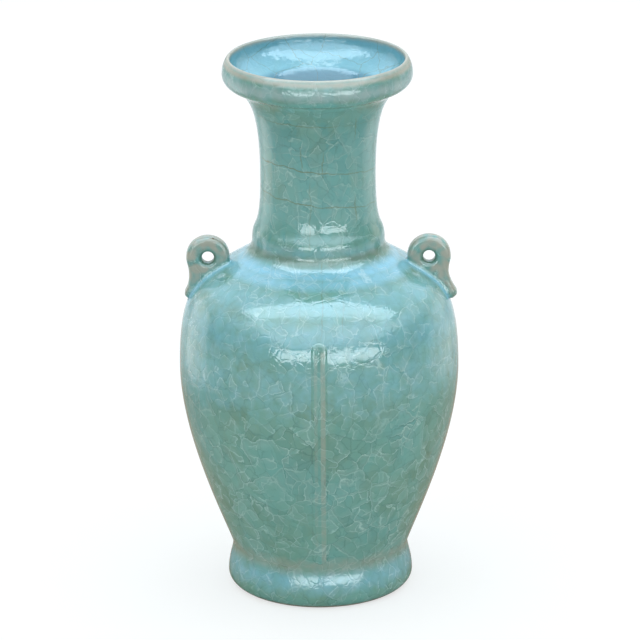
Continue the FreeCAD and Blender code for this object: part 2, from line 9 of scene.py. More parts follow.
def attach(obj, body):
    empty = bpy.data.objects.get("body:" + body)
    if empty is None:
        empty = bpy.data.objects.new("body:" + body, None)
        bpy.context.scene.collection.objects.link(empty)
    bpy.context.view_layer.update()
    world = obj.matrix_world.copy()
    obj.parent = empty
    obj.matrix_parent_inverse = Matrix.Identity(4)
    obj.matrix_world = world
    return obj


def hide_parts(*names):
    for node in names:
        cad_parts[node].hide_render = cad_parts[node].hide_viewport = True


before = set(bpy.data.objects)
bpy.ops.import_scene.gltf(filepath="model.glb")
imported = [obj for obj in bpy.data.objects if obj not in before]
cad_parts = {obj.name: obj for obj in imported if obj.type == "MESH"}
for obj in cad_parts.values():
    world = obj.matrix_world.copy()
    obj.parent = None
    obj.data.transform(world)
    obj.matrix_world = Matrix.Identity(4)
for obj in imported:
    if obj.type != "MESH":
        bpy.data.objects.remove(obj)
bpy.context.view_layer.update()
mm = 0.001  # sizes below are in millimetres, the scene is in metres


def linearColour(hexText):
    parts = [int(hexText[place:place + 2], 16) / 255 for place in (1, 3, 5)]
    return (*(part / 12.92 if part <= 0.04045 else ((part + 0.055) / 1.055) ** 2.4 for part in parts), 1.0)


def addNode(tree, kind, inputs=None, **settings):
    node = tree.nodes.new(kind)
    for name, value in settings.items():
        setattr(node, name, value)
    for socket, value in (inputs or {}).items():
        if isinstance(value, bpy.types.NodeSocket):
            tree.links.new(value, node.inputs[socket])
        else:
            node.inputs[socket].default_value = value
    return node


def emptyMaterial(name):
    material = bpy.data.materials.new(name)
    material.use_nodes = True
    material.node_tree.nodes.clear()
    return material, material.node_tree


# Celadon-type glaze over stoneware: dipped thick, fired and crazed while it cooled.
# The eye gets a deep wet gloss, and under it flakes of crazing that catch light along one side.
glaze = {
    "green": "#74A08C",
    "blue": "#72A8A1",
    "poolAndSkySheen": "#90CFE6",  # thick glaze in the hollows, lightened against the shade at the neck's foot, and a painted sky reflection where it spreads wide over the shoulder, upper belly and foot
    "pooledFlakeHighlight": "#CBE6EA",  # painted highlight on a flake's edges where the glaze is thick
    # painted shade on a flake's dark side where the glaze is thick
    "pooledShade": "#6DA5B2",
    "inside": "#79B6C9",  # thickest glaze, in the dish of the mouth, made lighter and bluer as a painted sky reflection
    "throat": "#54899C",  # the same glaze where the throat falls into shade
    "deep": "#617A63",  # dark green round the lugs' holes, under the rim and at the neck's foot: deeper glaze with painted shade in these recesses
    "olive": "#7F9C80",  # where the glaze fired greener
    "run": "#5FA5A2",  # thicker glaze in the runs down the neck
    "thin": "#AEAB9B",  # clay shows through on edges
    "flake": "#BADBD2",  # light caught by a flake's edge
    "shade": "#578279",  # dark side of a flake
    "crack": "#6F7A54",  # old crack lines, stained
    "speck": "#7A6247",  # iron spots
    "roughness": 0.085,
    "thinRoughness": 0.24,
    "ior": 1.52,
    "noises": {  # size in mm, detail, and the coordinates that it runs over
        "patches": (34.0, 2.0, "plain"),
        "drift": (60.0, 3.0, "plain"),
        "fired": (40.0, 4.0, "bent"),
        "runs": (9.0, 2.0, "bentFall"),
        "broken": (7.0, 3.0, "plain"),
        "waves": (24.0, 1.0, "plain"),
        "ripples": (6.0, 1.0, "plain"),
        "drips": (4.5, 1.0, "fall"),
    },
    "runSqueeze": 0.10,  # how far the runs' and drips' noise is drawn out along the height
    "dripSqueeze": 0.12,
    "spreads": {  # a noise, two of its values, and the share at each
        "busy": ("patches", 0.38, 0.60, 0.5, 1.0),
        "stained": ("patches", 0.36, 0.56, 0.3, 1.0),
        "bluer": ("drift", 0.38, 0.62, 0.0, 1.0),
        "greener": ("fired", 0.44, 0.66, 0.0, 0.55),
        "striped": ("runs", 0.47, 0.62, 0.0, 0.6),
    },
    "levels": {  # two heights in mm, and the share or factor at each
        "calm": (250.0, 275.0, 1.0, 0.8),  # crazing, less on the neck
        "climb": (70.0, 235.0, -0.25, 0.45),  # greener low on the body, bluer up to the shoulder
        "ended": (235.0, 262.0, 1.0, 0.0),  # where that climb ends
        "runs": (235.0, 266.0, 0.3, 1.0),  # plain on the neck, faint on the body
        "lift": (32.0, 80.0, 1.09, 1.0),  # lighter towards the foot, where the glaze is thinner
        "drips": (205.0, 222.0, 0.30, 0.02),  # drips in the surface, below the shoulder
        "collar": (374.0, 384.0, 0.24, 1.0),  # ripples in the surface, strongest on the mouth
    },
    "layers": [  # flake size in mm, strength of edges, tones, hues and shades, seed as an offset
        {"cell": 15.0, "edge": 0.88, "tint": 0.055, "hue": 0.32, "shade": 0.55, "offset": 0.0},
        {"cell": 9.0, "edge": 0.72, "tint": 0.045, "hue": 0.24, "shade": 0.48, "offset": 0.37},
        {"cell": 27.0, "edge": 0.55, "tint": 0.045, "hue": 0.30, "shade": 0.50, "offset": 0.71},
    ],
    "edgeWidth": 0.95,  # mm from a flake's border to where its line has faded
    "glow": 0.30,  # soft light beside a pale edge, and its reach in edge widths
    "glowReach": 5,
    "beside": 0.75,  # shadow beside a pale edge, and its reach in edge widths
    "besideReach": 2.6,
    "litSide": (0.15, 0.75),  # how squarely an edge faces its flake's own light, from none to full
    "darkSide": (-0.2, -0.8),
    "warp": 8.0,  # mm, how far the noise bends the flakes' edges
    "warpSize": 13.0,
    "rings": [(361.0, -0.03, 0.5), (325.0, -0.10, 0.75), (300.0, -0.13, 0.75)],  # height, slope, strength
    # across, between two heights, strength
    "uprights": [(2.4, 214.0, 264.0, 0.45), (17.5, 212.0, 244.0, 0.35), (-13.5, 226.0, 250.0, 0.25),
                 (-12.0, 325.0, 346.0, 0.5), (3.5, 320.0, 342.0, 0.5), (-6.0, 264.0, 320.0, 0.3),
                 (27.0, 284.0, 308.0, 0.45), (27.0, 346.0, 368.0, 0.35)],
    "uprightEnd": 6,  # mm over which an upright fades out
    "crackWidth": 0.65,
    "crackCore": 0.1,
    "crackBend": 0.8,  # share of the flakes' bend
    "coats": {  # how much of a depth from the pieces starts a coat, and fills it
        "poolAndSkySheen": (0.25, 0.95),
        "inside": (0.0, 1.15),
        "thin": (0.2, 0.85),
        "deep": (0.1, 0.95),
    },
    "coatUneven": 0.5,
    "coatOnset": 4.0,  # a coat is let in fully from one part in this many of the depth
    "coatMost": 0.9,
    "traced": {"pooledShade": 0.7, "pooledFlakeHighlight": 0.75},  # the flakes' painted shade and painted highlight, drawn again over the pool
    "throatFall": (376.0, 380.5, 0.85),  # two heights, and the share below them
    "dishCell": 30.0,  # mm between the fine cracks in the mouth
    "dishCrack": 0.35,
    "dishShare": 0.55,
    "spotCell": 26.0,  # mm between places where an iron spot can be
    "spotEdge": (0.02, 0.045),  # share of that distance
    "spotRare": 0.8,  # share of the places without one
    "grooveStep": -0.12,  # a flake's border against the waves
    "surfaceDepth": 0.35,  # mm
}


def makeGlaze():
    material, tree = emptyMaterial("celadonGlazeDippedFired")
    place = addNode(tree, "ShaderNodeTexCoord").outputs["Object"]
    level = addNode(tree, "ShaderNodeSeparateXYZ", {0: place}).outputs[2]
    depth = addNode(tree, "ShaderNodeAttribute", attribute_name="glazeDepth")
    parts = addNode(tree, "ShaderNodeSeparateColor", {0: depth.outputs["Color"]})
    depths = {name: parts.outputs[i] for i, name in enumerate(("poolAndSkySheen", "thin", "inside"))}
    depths["deep"] = depth.outputs["Alpha"]

    # a slow wander bends every flake's edge, and some noise is drawn out along the fall of the glaze
    wander = addNode(tree, "ShaderNodeTexNoise", {"Vector": place, "Scale": 1 / (glaze["warpSize"] * mm),
                                                  "Detail": 4.0, "Roughness": 0.6})
    centred = addNode(tree, "ShaderNodeVectorMath", {0: wander.outputs["Color"], 1: (0.5, 0.5, 0.5)},
                      operation="SUBTRACT")
    bend = addNode(tree, "ShaderNodeVectorMath", {0: centred.outputs[0], "Scale": glaze["warp"] * mm},
                   operation="SCALE").outputs[0]
    bent = addNode(tree, "ShaderNodeVectorMath", {0: place, 1: bend}, operation="ADD").outputs[0]
    ways = {"plain": place, "bent": bent}
    for way, start, squeeze in (("bentFall", bent, glaze["runSqueeze"]),
                                ("fall", place, glaze["dripSqueeze"])):
        ways[way] = addNode(tree, "ShaderNodeVectorMath", {0: start, 1: (1.0, 1.0, squeeze)},
                            operation="MULTIPLY").outputs[0]
    noises = {name: addNode(tree, "ShaderNodeTexNoise", {
        "Vector": ways[way], "Scale": 1 / (size * mm), "Detail": detail}).outputs["Fac"]
        for name, (size, detail, way) in glaze["noises"].items()}
    spreads = {name: addNode(tree, "ShaderNodeMapRange", {
        "Value": noises[source], "From Min": low, "From Max": high,
        "To Min": before, "To Max": after}).outputs[0]
        for name, (source, low, high, before, after) in glaze["spreads"].items()}
    levels = {name: addNode(tree, "ShaderNodeMapRange", {
        "Value": level, "From Min": low * mm, "From Max": high * mm,
        "To Min": before, "To Max": after}).outputs[0]
        for name, (low, high, before, after) in glaze["levels"].items()}

    # green and blue drift over the whole vase, with olive patches and bluer runs
    hue = addNode(tree, "ShaderNodeMath", {0: levels["climb"], 1: levels["ended"], 2: spreads["bluer"]},
                  operation="MULTIPLY_ADD", use_clamp=True).outputs[0]
    run, busy = (addNode(tree, "ShaderNodeMath", {0: spreads[source], 1: levels[where]},
                         operation="MULTIPLY").outputs[0]
                 for source, where in (("striped", "runs"), ("busy", "calm")))
    colour = linearColour(glaze["green"])
    for share, tint in ((hue, "blue"), (spreads["greener"], "olive"), (run, "run")):
        colour = addNode(tree, "ShaderNodeMix", {0: share, 6: colour, 7: linearColour(glaze[tint])},
                         data_type="RGBA").outputs[2]
    colour = addNode(tree, "ShaderNodeVectorMath", {0: colour, "Scale": levels["lift"]},
                     operation="SCALE").outputs[0]

    # each flake has a painted highlight along one edge and painted shade along the other, and is a little
    # lighter, darker or bluer than the next
    groove = paleAll = darkAll = None
    for number, layer in enumerate(glaze["layers"]):
        shift = addNode(tree, "ShaderNodeVectorMath", {0: bent, 1: (layer["offset"],) * 3},
                        operation="ADD").outputs[0]
        flake, border = (addNode(tree, "ShaderNodeTexVoronoi", {
            "Vector": shift, "Scale": 1 / (layer["cell"] * mm)}, feature=feature)
            for feature in ("F1", "DISTANCE_TO_EDGE"))
        towards = [addNode(tree, "ShaderNodeVectorMath", {0: start, 1: end}, operation="SUBTRACT")
                   for start, end in ((shift, flake.outputs["Position"]),
                                      (flake.outputs["Color"], (0.5, 0.5, 0.5)))]
        outward, tilt = (addNode(tree, "ShaderNodeVectorMath", {0: way.outputs[0]},
                                 operation="NORMALIZE").outputs[0] for way in towards)
        facing = addNode(tree, "ShaderNodeVectorMath", {0: outward, 1: tilt},
                         operation="DOT_PRODUCT").outputs["Value"]
        width = glaze["edgeWidth"] / layer["cell"]
        near = border.outputs["Distance"]
        line, glow, beside, lit, dark = (
            addNode(tree, "ShaderNodeMapRange", {"Value": value, "From Min": low, "From Max": high,
                                                 "To Min": before, "To Max": after},
                    interpolation_type="SMOOTHSTEP").outputs[0]
            for value, low, high, before, after in (
                (near, 0.0, width, 1.0, 0.0),
                (near, 0.0, width * glaze["glowReach"], glaze["glow"], 0.0),
                (near, width, width * glaze["besideReach"], glaze["beside"], 0.0),
                (facing, *glaze["litSide"], 0.0, 1.0),
                (facing, *glaze["darkSide"], 0.0, 1.0)))
        own = addNode(tree, "ShaderNodeSeparateColor", {0: flake.outputs["Color"]}).outputs[number]
        tone = addNode(tree, "ShaderNodeMapRange", {"Value": own, "To Min": 1 - layer["tint"],
                                                    "To Max": 1 + layer["tint"]}).outputs[0]
        colour = addNode(tree, "ShaderNodeVectorMath", {0: colour, "Scale": tone},
                         operation="SCALE").outputs[0]
        bluer, lineDark, besideLit = (
            addNode(tree, "ShaderNodeMath", {0: first, 1: second}, operation="MULTIPLY").outputs[0]
            for first, second in ((own, layer["hue"]), (line, dark), (beside, lit)))
        pale, darker = (
            addNode(tree, "ShaderNodeMath", {0: first, 1: second}, operation="MAXIMUM").outputs[0]
            for first, second in ((line, glow), (lineDark, besideLit)))
        for factor in (lit, layer["edge"], busy):
            pale = addNode(tree, "ShaderNodeMath", {0: pale, 1: factor}, operation="MULTIPLY").outputs[0]
        for factor in (layer["shade"], busy):
            darker = addNode(tree, "ShaderNodeMath", {0: darker, 1: factor},
                             operation="MULTIPLY").outputs[0]
        for share, tint in ((bluer, "blue"), (darker, "shade"), (pale, "flake")):
            colour = addNode(tree, "ShaderNodeMix", {0: share, 6: colour, 7: linearColour(glaze[tint])},
                             data_type="RGBA").outputs[2]
        if groove is None:
            groove, paleAll, darkAll = line, pale, darker
        else:
            groove, paleAll, darkAll = (
                addNode(tree, "ShaderNodeMath", {0: before, 1: now}, operation="MAXIMUM").outputs[0]
                for before, now in ((groove, line), (paleAll, pale), (darkAll, darker)))

    # long stained cracks: level rings round the neck, and short uprights in front
    nudge = addNode(tree, "ShaderNodeVectorMath", {0: bend, "Scale": glaze["crackBend"]}, operation="SCALE")
    nudged = addNode(tree, "ShaderNodeVectorMath", {0: place, 1: nudge.outputs[0]}, operation="ADD")
    axes = addNode(tree, "ShaderNodeSeparateXYZ", {0: nudged.outputs[0]})
    cracks = []
    for height, slope, strength in glaze["rings"]:
        rise = addNode(tree, "ShaderNodeMath", {0: axes.outputs[0], 1: -slope, 2: axes.outputs[2]},
                       operation="MULTIPLY_ADD")
        cracks.append((rise.outputs[0], height, strength, [spreads["stained"]]))
    front = addNode(tree, "ShaderNodeMath", {0: axes.outputs[1], 1: 0.0}, operation="LESS_THAN")
    for across, low, high, strength in glaze["uprights"]:
        ends = [addNode(tree, "ShaderNodeMapRange", {
            "Value": level, "From Min": start * mm, "From Max": (start + glaze["uprightEnd"]) * mm,
            "To Min": before, "To Max": 1 - before}).outputs[0]
            for start, before in ((low, 0.0), (high - glaze["uprightEnd"], 1.0))]
        cracks.append((axes.outputs[0], across, strength, [*ends, front.outputs[0]]))
    crackShare = None
    for value, middle, strength, factors in cracks:
        aside = addNode(tree, "ShaderNodeMath", {0: value, 1: middle * mm}, operation="SUBTRACT")
        aside = addNode(tree, "ShaderNodeMath", {0: aside.outputs[0]}, operation="ABSOLUTE")
        crack = addNode(tree, "ShaderNodeMapRange", {
            "Value": aside.outputs[0], "From Min": glaze["crackCore"] * mm,
            "From Max": glaze["crackWidth"] * mm, "To Min": strength, "To Max": 0.0}).outputs[0]
        for factor in factors:
            crack = addNode(tree, "ShaderNodeMath", {0: crack, 1: factor}, operation="MULTIPLY").outputs[0]
        crackShare = crack if crackShare is None else addNode(
            tree, "ShaderNodeMath", {0: crackShare, 1: crack}, operation="MAXIMUM").outputs[0]
    colour = addNode(tree, "ShaderNodeMix", {0: crackShare, 6: colour, 7: linearColour(glaze["crack"])},
                     data_type="RGBA").outputs[2]

    # thick glaze in the hollows, with a painted sky reflection where it spreads over the shoulder, thickest
    # inside the mouth with a painted sky reflection there too, thin on the edges, deeper glaze with painted
    # shade in the recesses, each with a broken border
    ragged = addNode(tree, "ShaderNodeMath", {0: noises["broken"], 1: -0.5}, operation="ADD").outputs[0]
    for tint, (low, high) in glaze["coats"].items():
        uneven = addNode(tree, "ShaderNodeMath", {0: ragged, 1: glaze["coatUneven"], 2: depths[tint]},
                         operation="MULTIPLY_ADD")
        covered = addNode(tree, "ShaderNodeMapRange", {"Value": uneven.outputs[0], "From Min": low,
                                                       "From Max": high, "To Max": glaze["coatMost"]})
        present = addNode(tree, "ShaderNodeMath", {0: depths[tint], 1: glaze["coatOnset"]},
                          operation="MULTIPLY", use_clamp=True)
        amount = addNode(tree, "ShaderNodeMath", {0: covered.outputs[0], 1: present.outputs[0]},
                         operation="MULTIPLY").outputs[0]
        colour = addNode(tree, "ShaderNodeMix", {0: amount, 6: colour, 7: linearColour(glaze[tint])},
                         data_type="RGBA").outputs[2]
        if tint == "poolAndSkySheen":
            for edges, (shine, most) in zip((darkAll, paleAll), glaze["traced"].items()):
                traced = edges
                for factor in (amount, most):
                    traced = addNode(tree, "ShaderNodeMath", {0: traced, 1: factor},
                                     operation="MULTIPLY").outputs[0]
                colour = addNode(tree, "ShaderNodeMix", {0: traced, 6: colour,
                                                         7: linearColour(glaze[shine])},
                                 data_type="RGBA").outputs[2]

    # the throat is darker below the dish, a few fine cracks cross both, and iron burns through in spots
    low, high, most = glaze["throatFall"]
    fall = addNode(tree, "ShaderNodeMapRange", {"Value": level, "From Min": low * mm, "From Max": high * mm,
                                                "To Min": most, "To Max": 0.0},
                   interpolation_type="SMOOTHSTEP")
    fine = addNode(tree, "ShaderNodeTexVoronoi", {"Vector": bent, "Scale": 1 / (glaze["dishCell"] * mm)},
                   feature="DISTANCE_TO_EDGE")
    fineLine = addNode(tree, "ShaderNodeMapRange", {"Value": fine.outputs["Distance"], "From Min": 0.0,
                                                    "From Max": glaze["dishCrack"] / glaze["dishCell"],
                                                    "To Min": glaze["dishShare"], "To Max": 0.0})
    spots = addNode(tree, "ShaderNodeTexVoronoi", {"Vector": place, "Scale": 1 / (glaze["spotCell"] * mm)},
                    feature="F1")
    low, high = glaze["spotEdge"]
    spot = addNode(tree, "ShaderNodeMapRange", {"Value": spots.outputs["Distance"], "From Min": low,
                                                "From Max": high, "To Min": 1.0, "To Max": 0.0})
    pick = addNode(tree, "ShaderNodeSeparateColor", {0: spots.outputs["Color"]})
    rare = addNode(tree, "ShaderNodeMath", {0: pick.outputs[1], 1: glaze["spotRare"]},
                   operation="GREATER_THAN")
    for share, where, tint in ((fall, depths["inside"], "throat"), (fineLine, depths["inside"], "crack"),
                               (spot, rare.outputs[0], "speck")):
        share = addNode(tree, "ShaderNodeMath", {0: share.outputs[0], 1: where}, operation="MULTIPLY")
        colour = addNode(tree, "ShaderNodeMix", {0: share.outputs[0], 6: colour,
                                                 7: linearColour(glaze[tint])}, data_type="RGBA").outputs[2]

    # the surface: slack waves of run glaze, and a hairline step at each flake
    height = addNode(tree, "ShaderNodeMath", {0: groove, 1: glaze["grooveStep"]},
                     operation="MULTIPLY").outputs[0]
    for name, factor in (("waves", 1.0), ("ripples", levels["collar"]), ("drips", levels["drips"])):
        height = addNode(tree, "ShaderNodeMath", {0: noises[name], 1: factor, 2: height},
                         operation="MULTIPLY_ADD").outputs[0]
    bump = addNode(tree, "ShaderNodeBump", {"Height": height, "Strength": 1.0,
                                            "Distance": glaze["surfaceDepth"] * mm})
    rough = addNode(tree, "ShaderNodeMapRange", {"Value": depths["thin"], "To Min": glaze["roughness"],
                                                 "To Max": glaze["thinRoughness"]})
    shader = addNode(tree, "ShaderNodeBsdfPrincipled", {
        "Base Color": colour, "Roughness": rough.outputs[0], "IOR": glaze["ior"],
        "Normal": bump.outputs[0]})
    addNode(tree, "ShaderNodeOutputMaterial", {"Surface": shader.outputs[0]})
    return material


# Buff stoneware, thrown, wiped with a sponge and fired bare: matt, with grog and a toasted edge.
# The eye gets a dry, sandy ring that shows the vase stands on its own clay.
clay = {
    "pale": "#B9A58A",
    "toasted": "#8F7355",
    "grog": "#6E5A46",
    "cloudSize": 18.0,  # mm
    "cloudValues": (0.4, 0.68),  # values of the noise from pale to toasted
    "grogSize": 1.2,  # mm
    "grogEdge": (0.12, 0.3),  # share of that size
    "grogMost": 0.7,
    "toolRings": 2.4,  # mm between the marks of the tool
    "ringHeight": 0.3,  # against the grog
    "surfaceDepth": 0.3,  # mm
    "surfaceStrength": 0.7,
    "roughness": 0.88,
    "ior": 1.5,
}


def makeClay():
    material, tree = emptyMaterial("buffStonewareFiredBare")
    place = addNode(tree, "ShaderNodeTexCoord").outputs["Object"]
    cloudy = addNode(tree, "ShaderNodeTexNoise", {"Vector": place, "Scale": 1 / (clay["cloudSize"] * mm),
                                                  "Detail": 5.0})
    grains = addNode(tree, "ShaderNodeTexVoronoi", {"Vector": place, "Scale": 1 / (clay["grogSize"] * mm)})
    colour = linearColour(clay["pale"])
    for value, (low, high), before, after, tint in (
            (cloudy.outputs["Fac"], clay["cloudValues"], 0.0, 1.0, "toasted"),
            (grains.outputs["Distance"], clay["grogEdge"], clay["grogMost"], 0.0, "grog")):
        share = addNode(tree, "ShaderNodeMapRange", {"Value": value, "From Min": low, "From Max": high,
                                                     "To Min": before, "To Max": after})
        colour = addNode(tree, "ShaderNodeMix", {0: share.outputs[0], 6: colour,
                                                 7: linearColour(clay[tint])}, data_type="RGBA").outputs[2]
    axes = addNode(tree, "ShaderNodeSeparateXYZ", {0: place})
    flat = addNode(tree, "ShaderNodeCombineXYZ", {0: axes.outputs[0], 1: axes.outputs[1]})
    reach = addNode(tree, "ShaderNodeVectorMath", {0: flat.outputs[0]}, operation="LENGTH")
    turns = addNode(tree, "ShaderNodeMath", {0: reach.outputs["Value"],
                                             1: math.tau / (clay["toolRings"] * mm)}, operation="MULTIPLY")
    rings = addNode(tree, "ShaderNodeMath", {0: turns.outputs[0]}, operation="SINE")
    height = addNode(tree, "ShaderNodeMath", {0: rings.outputs[0], 1: clay["ringHeight"],
                                              2: grains.outputs["Distance"]}, operation="MULTIPLY_ADD")
    bump = addNode(tree, "ShaderNodeBump", {"Height": height.outputs[0], "Strength": clay["surfaceStrength"],
                                            "Distance": clay["surfaceDepth"] * mm})
    shader = addNode(tree, "ShaderNodeBsdfPrincipled", {
        "Base Color": colour, "Roughness": clay["roughness"], "IOR": clay["ior"],
        "Normal": bump.outputs[0]})
    addNode(tree, "ShaderNodeOutputMaterial", {"Surface": shader.outputs[0]})
    return material


glazeMaterial = makeGlaze()
clayMaterial = makeClay()
print("materials made")


def profilePoints(start, runs):
    # a run is its number of steps, then one corner, or two handles and an end
    points = [Vector((start[0], 0, start[1])) * mm]
    for count, *marks in runs:
        here = points[-1]
        ends = [Vector((radius, 0, height)) * mm for radius, height in marks]
        if len(ends) == 1:
            points += [here.lerp(ends[0], step / count) for step in range(1, count + 1)]
        else:
            points += interpolate_bezier(here, *ends, count + 1)[1:]
    return points


def spinProfile(points, steps, first=0.0, angle=math.tau):
    bm = bmesh.new()
    turn = Matrix.Rotation(first, 3, "Z")
    corners = [bm.verts.new(turn @ point) for point in points]
    edges = [bm.edges.new(pair) for pair in zip(corners, corners[1:])]
    bmesh.ops.spin(bm, geom=corners + edges, cent=(0, 0, 0), axis=(0, 0, 1), angle=angle, steps=steps,
                   use_merge=angle == math.tau)
    bmesh.ops.remove_doubles(bm, verts=bm.verts, dist=1e-6)
    bmesh.ops.recalc_face_normals(bm, faces=bm.faces)
    return bm


def spread(vert, spots):
    # how near a point of the cut is to the nearest of some spots, each a radius, height, reach and strength
    radius, height = math.hypot(vert.co.x, vert.co.y) / mm, vert.co.z / mm
    return max(strength * math.exp(-((radius - r) ** 2 + (height - z) ** 2) / reach ** 2)
               for r, z, reach, strength in spots)


def finishPiece(name, bm, material, slot, *nodes):
    mesh = bpy.data.meshes.new(name)
    bm.to_mesh(mesh)
    bm.free()
    mesh.materials.append(material)
    mesh.shade_smooth()
    piece = bpy.data.objects.new(name, mesh)
    bpy.context.scene.collection.objects.link(piece)
    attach(piece, "root")
    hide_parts(*nodes)
    print(name, "has", len(mesh.polygons), "faces")


def nodeMesh(name):
    bm = bmesh.new()
    bm.from_mesh(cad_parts[name].data)
    bmesh.ops.remove_doubles(bm, verts=bm.verts, dist=1e-6)
    return bm


# the vessel: one skin of glaze over the foot, body, neck and mouth, outside and in
# its cut is made of runs, each a number of steps and then points with a radius and a height
vessel = {
    "turnSteps": 208,
    "start": (0, 16.5),
    "hiddenFoot": [(2, (57.0, 16.5)), (2, (59.5, 3.2)), (2, (62.4, 1.35)), (1, (63.47, 1.04))],
    "foot": [(8, (65.4, 2.3), (67.9, 4.8), (67.9, 8.3)), (16, (67.9, 17.9), (64.4, 24.3), (64.4, 30.5))],
    "body": [(66, (64.4, 37.0), (101.9, 111.1), (101.9, 168.4)),
             (44, (101.9, 219.08), (91.54, 230.37), (73.0, 241.91)),
             (16, (68.0, 245.02), (62.9, 248.1), (58.0, 251.1)),
             (24, (53.8, 253.67), (48.9, 256.6), (48.2, 263.4))],
    "neck": [(26, (48.2, 281.5), (41.8, 267.0), (41.8, 312.7)),
             (34, (41.8, 357.2), (48.3, 372.8), (60.6, 378.9))],
    "mouth": [(3, (60.9, 379.05), (61.3, 379.2), (61.8, 379.3)),
              (14, (63.6, 379.5), (68.7, 382.7), (68.7, 388.1)),
              (12, (68.7, 394.5), (65.5, 400.0), (64.2, 400.0)),
              (7, (63.4, 400.0), (62.6, 398.7), (62.6, 397.5)),
              (16, (62.6, 390.5), (57.3, 385.1), (47.6, 379.3))],
    "inside": [(18, (41.0, 374.7), (35.8, 357.2), (35.8, 312.7)),
               (14, (35.8, 267.0), (42.2, 281.0), (42.2, 255.0)),
               (5, (42.2, 250.0), (44.5, 247.5), (50.0, 244.6)),
               (16, (78.8, 228.4), (95.9, 238.1), (95.9, 168.4)),
               (20, (95.9, 111.1), (57.9, 41.3), (57.9, 30.0)),
               (6, (57.9, 23.0), (54.0, 20.0), (48.0, 20.0)), (4, (0, 20.0))],
    # depths of glaze, each a radius, height, reach and strength; the wide pooled spots over the shoulder,
    # upper belly and foot are a painted sky reflection
    "poolAndSkySheen": [(56.0, 251.5, 7.0, 0.92), (63.0, 247.8, 8.0, 0.76), (80.0, 237.0, 17.0, 0.43),
               (93.0, 213.0, 24.0, 0.47), (101.0, 180.0, 38.0, 0.36), (48.2, 266.0, 9.0, 0.36),
               (69.0, 389.0, 9.0, 0.42), (66.5, 20.0, 12.0, 0.55)],
    # the last thin spot, at the waist, is partly thin glaze and partly a painted darker reflection on the
    # waist's edges
    "thin": [(64.0, 400.0, 3.4, 1.0), (66.6, 396.9, 2.6, 0.85), (68.7, 389.0, 8.0, 0.44),
             (48.2, 261.0, 5.0, 0.36), (47.6, 268.5, 3.5, 0.25), (63.6, 1.2, 2.2, 1.0),
             (61.5, 379.2, 1.4, 0.6), (64.6, 33.0, 9.0, 0.46)],
    # the deep spots are deeper glaze and painted shade in the crease under the rim, the throat and the neck's
    # foot
    "deep": [(59.0, 377.9, 3.0, 0.55), (52.0, 373.5, 6.0, 0.3), (38.0, 364.0, 7.0, 0.3),
             (48.6, 260.0, 5.0, 0.46)],
    "lugPool": 8.0,  # reach of the pool round a lug's foot
    "lugPoolMost": 0.95,
    "lugPoolLevels": (200, 262),  # heights between which a lug is looked for
    "lugSearch": 14,  # mm
    "insideFrom": 30,  # height above which the walls that face inwards have the inside's colour
    "insideGain": 2.5,
}
bodyStart = vessel["foot"][-1][-1]


def makeVessel(material, lugTrees):
    runs = vessel["hiddenFoot"] + vessel["foot"] + vessel["body"] + vessel["neck"] + vessel["mouth"]
    bm = spinProfile(profilePoints(vessel["start"], runs + vessel["inside"]), vessel["turnSteps"])
    layer = bm.verts.layers.float_color.new("glazeDepth")
    bm.normal_update()
    low, high = vessel["lugPoolLevels"]
    for vert in bm.verts:
        radial = Vector((vert.co.x, vert.co.y, 0))
        # walls that face inwards take the inside colour: thick glaze, with a painted sky reflection in the
        # mouth
        inward = -vert.normal.dot(radial.normalized()) if radial.length > mm else 1.0
        inside = min(max(inward * vessel["insideGain"], 0.0), 1.0)
        if vert.co.z <= vessel["insideFrom"] * mm:
            inside = 0.0
        # the pool share is thick glaze, and on the shoulder, upper belly and foot a painted sky reflection
        pool = spread(vert, vessel["poolAndSkySheen"])
        if low * mm < vert.co.z < high * mm:
            for lugTree in lugTrees:
                gap = lugTree.find_nearest(vert.co, vessel["lugSearch"] * mm)[3]
                if gap is not None:
                    nearness = math.exp(-(gap / (vessel["lugPool"] * mm)) ** 2)
                    pool = max(pool, vessel["lugPoolMost"] * nearness)
        vert[layer] = (pool, spread(vert, vessel["thin"]), inside, spread(vert, vessel["deep"]))
    skin = BVHTree.FromBMesh(bm)
    finishPiece("glazedVessel", bm, material, "crackle_glaze", "foot_ring", "lower_body", "shoulder", "neck",
                "mouth_rim")
    return skin


# the lugs: the modelled lug fused to a patch of the shoulder, so that glaze fills the corner between them
lug = {
    "voxel": 0.5,
    "patch": (206, 256),  # heights between which the shoulder is copied
    "patchAngle": 13.0,  # degrees each side of the lug
    "patchSteps": 26,
    "patchThick": 3.0,
    "fillReach": 4.0,  # how far up the lug the corner is softened
    "fillRounds": 28,
    "sink": 0.35,  # the patch ends this far under the vessel's skin
    "hole": (80.35, 250.3),
    "holeRadius": 4.35,
    "deepReach": 2.2,  # how far the dark green spreads from the hole: deeper glaze and painted shade
    "deepMost": 0.8,
    "poolReach": 1.6,  # how far up the lug the pool at its foot reaches
    "poolMost": 0.66,
    "thin": 0.70,  # how thin the glaze is, and how much thinner on the rims
    "thinRim": 0.1,
    "rimSide": 0.9,  # how squarely a point faces front or back before it is no rim
    "thinReach": 3.5,  # how far up the lug it gets thin
    "mottle": 0.8,  # how unevenly the glaze thins, in patches of the next size
    "mottleSize": 5.0,
    "knobCentre": (94.35, 223.1),
    "knobReach": 10.0,
    "knobMoves": {"right_lug": (2.2, -0.8), "left_lug": (-1.8, 0.0)},  # outwards and up
}


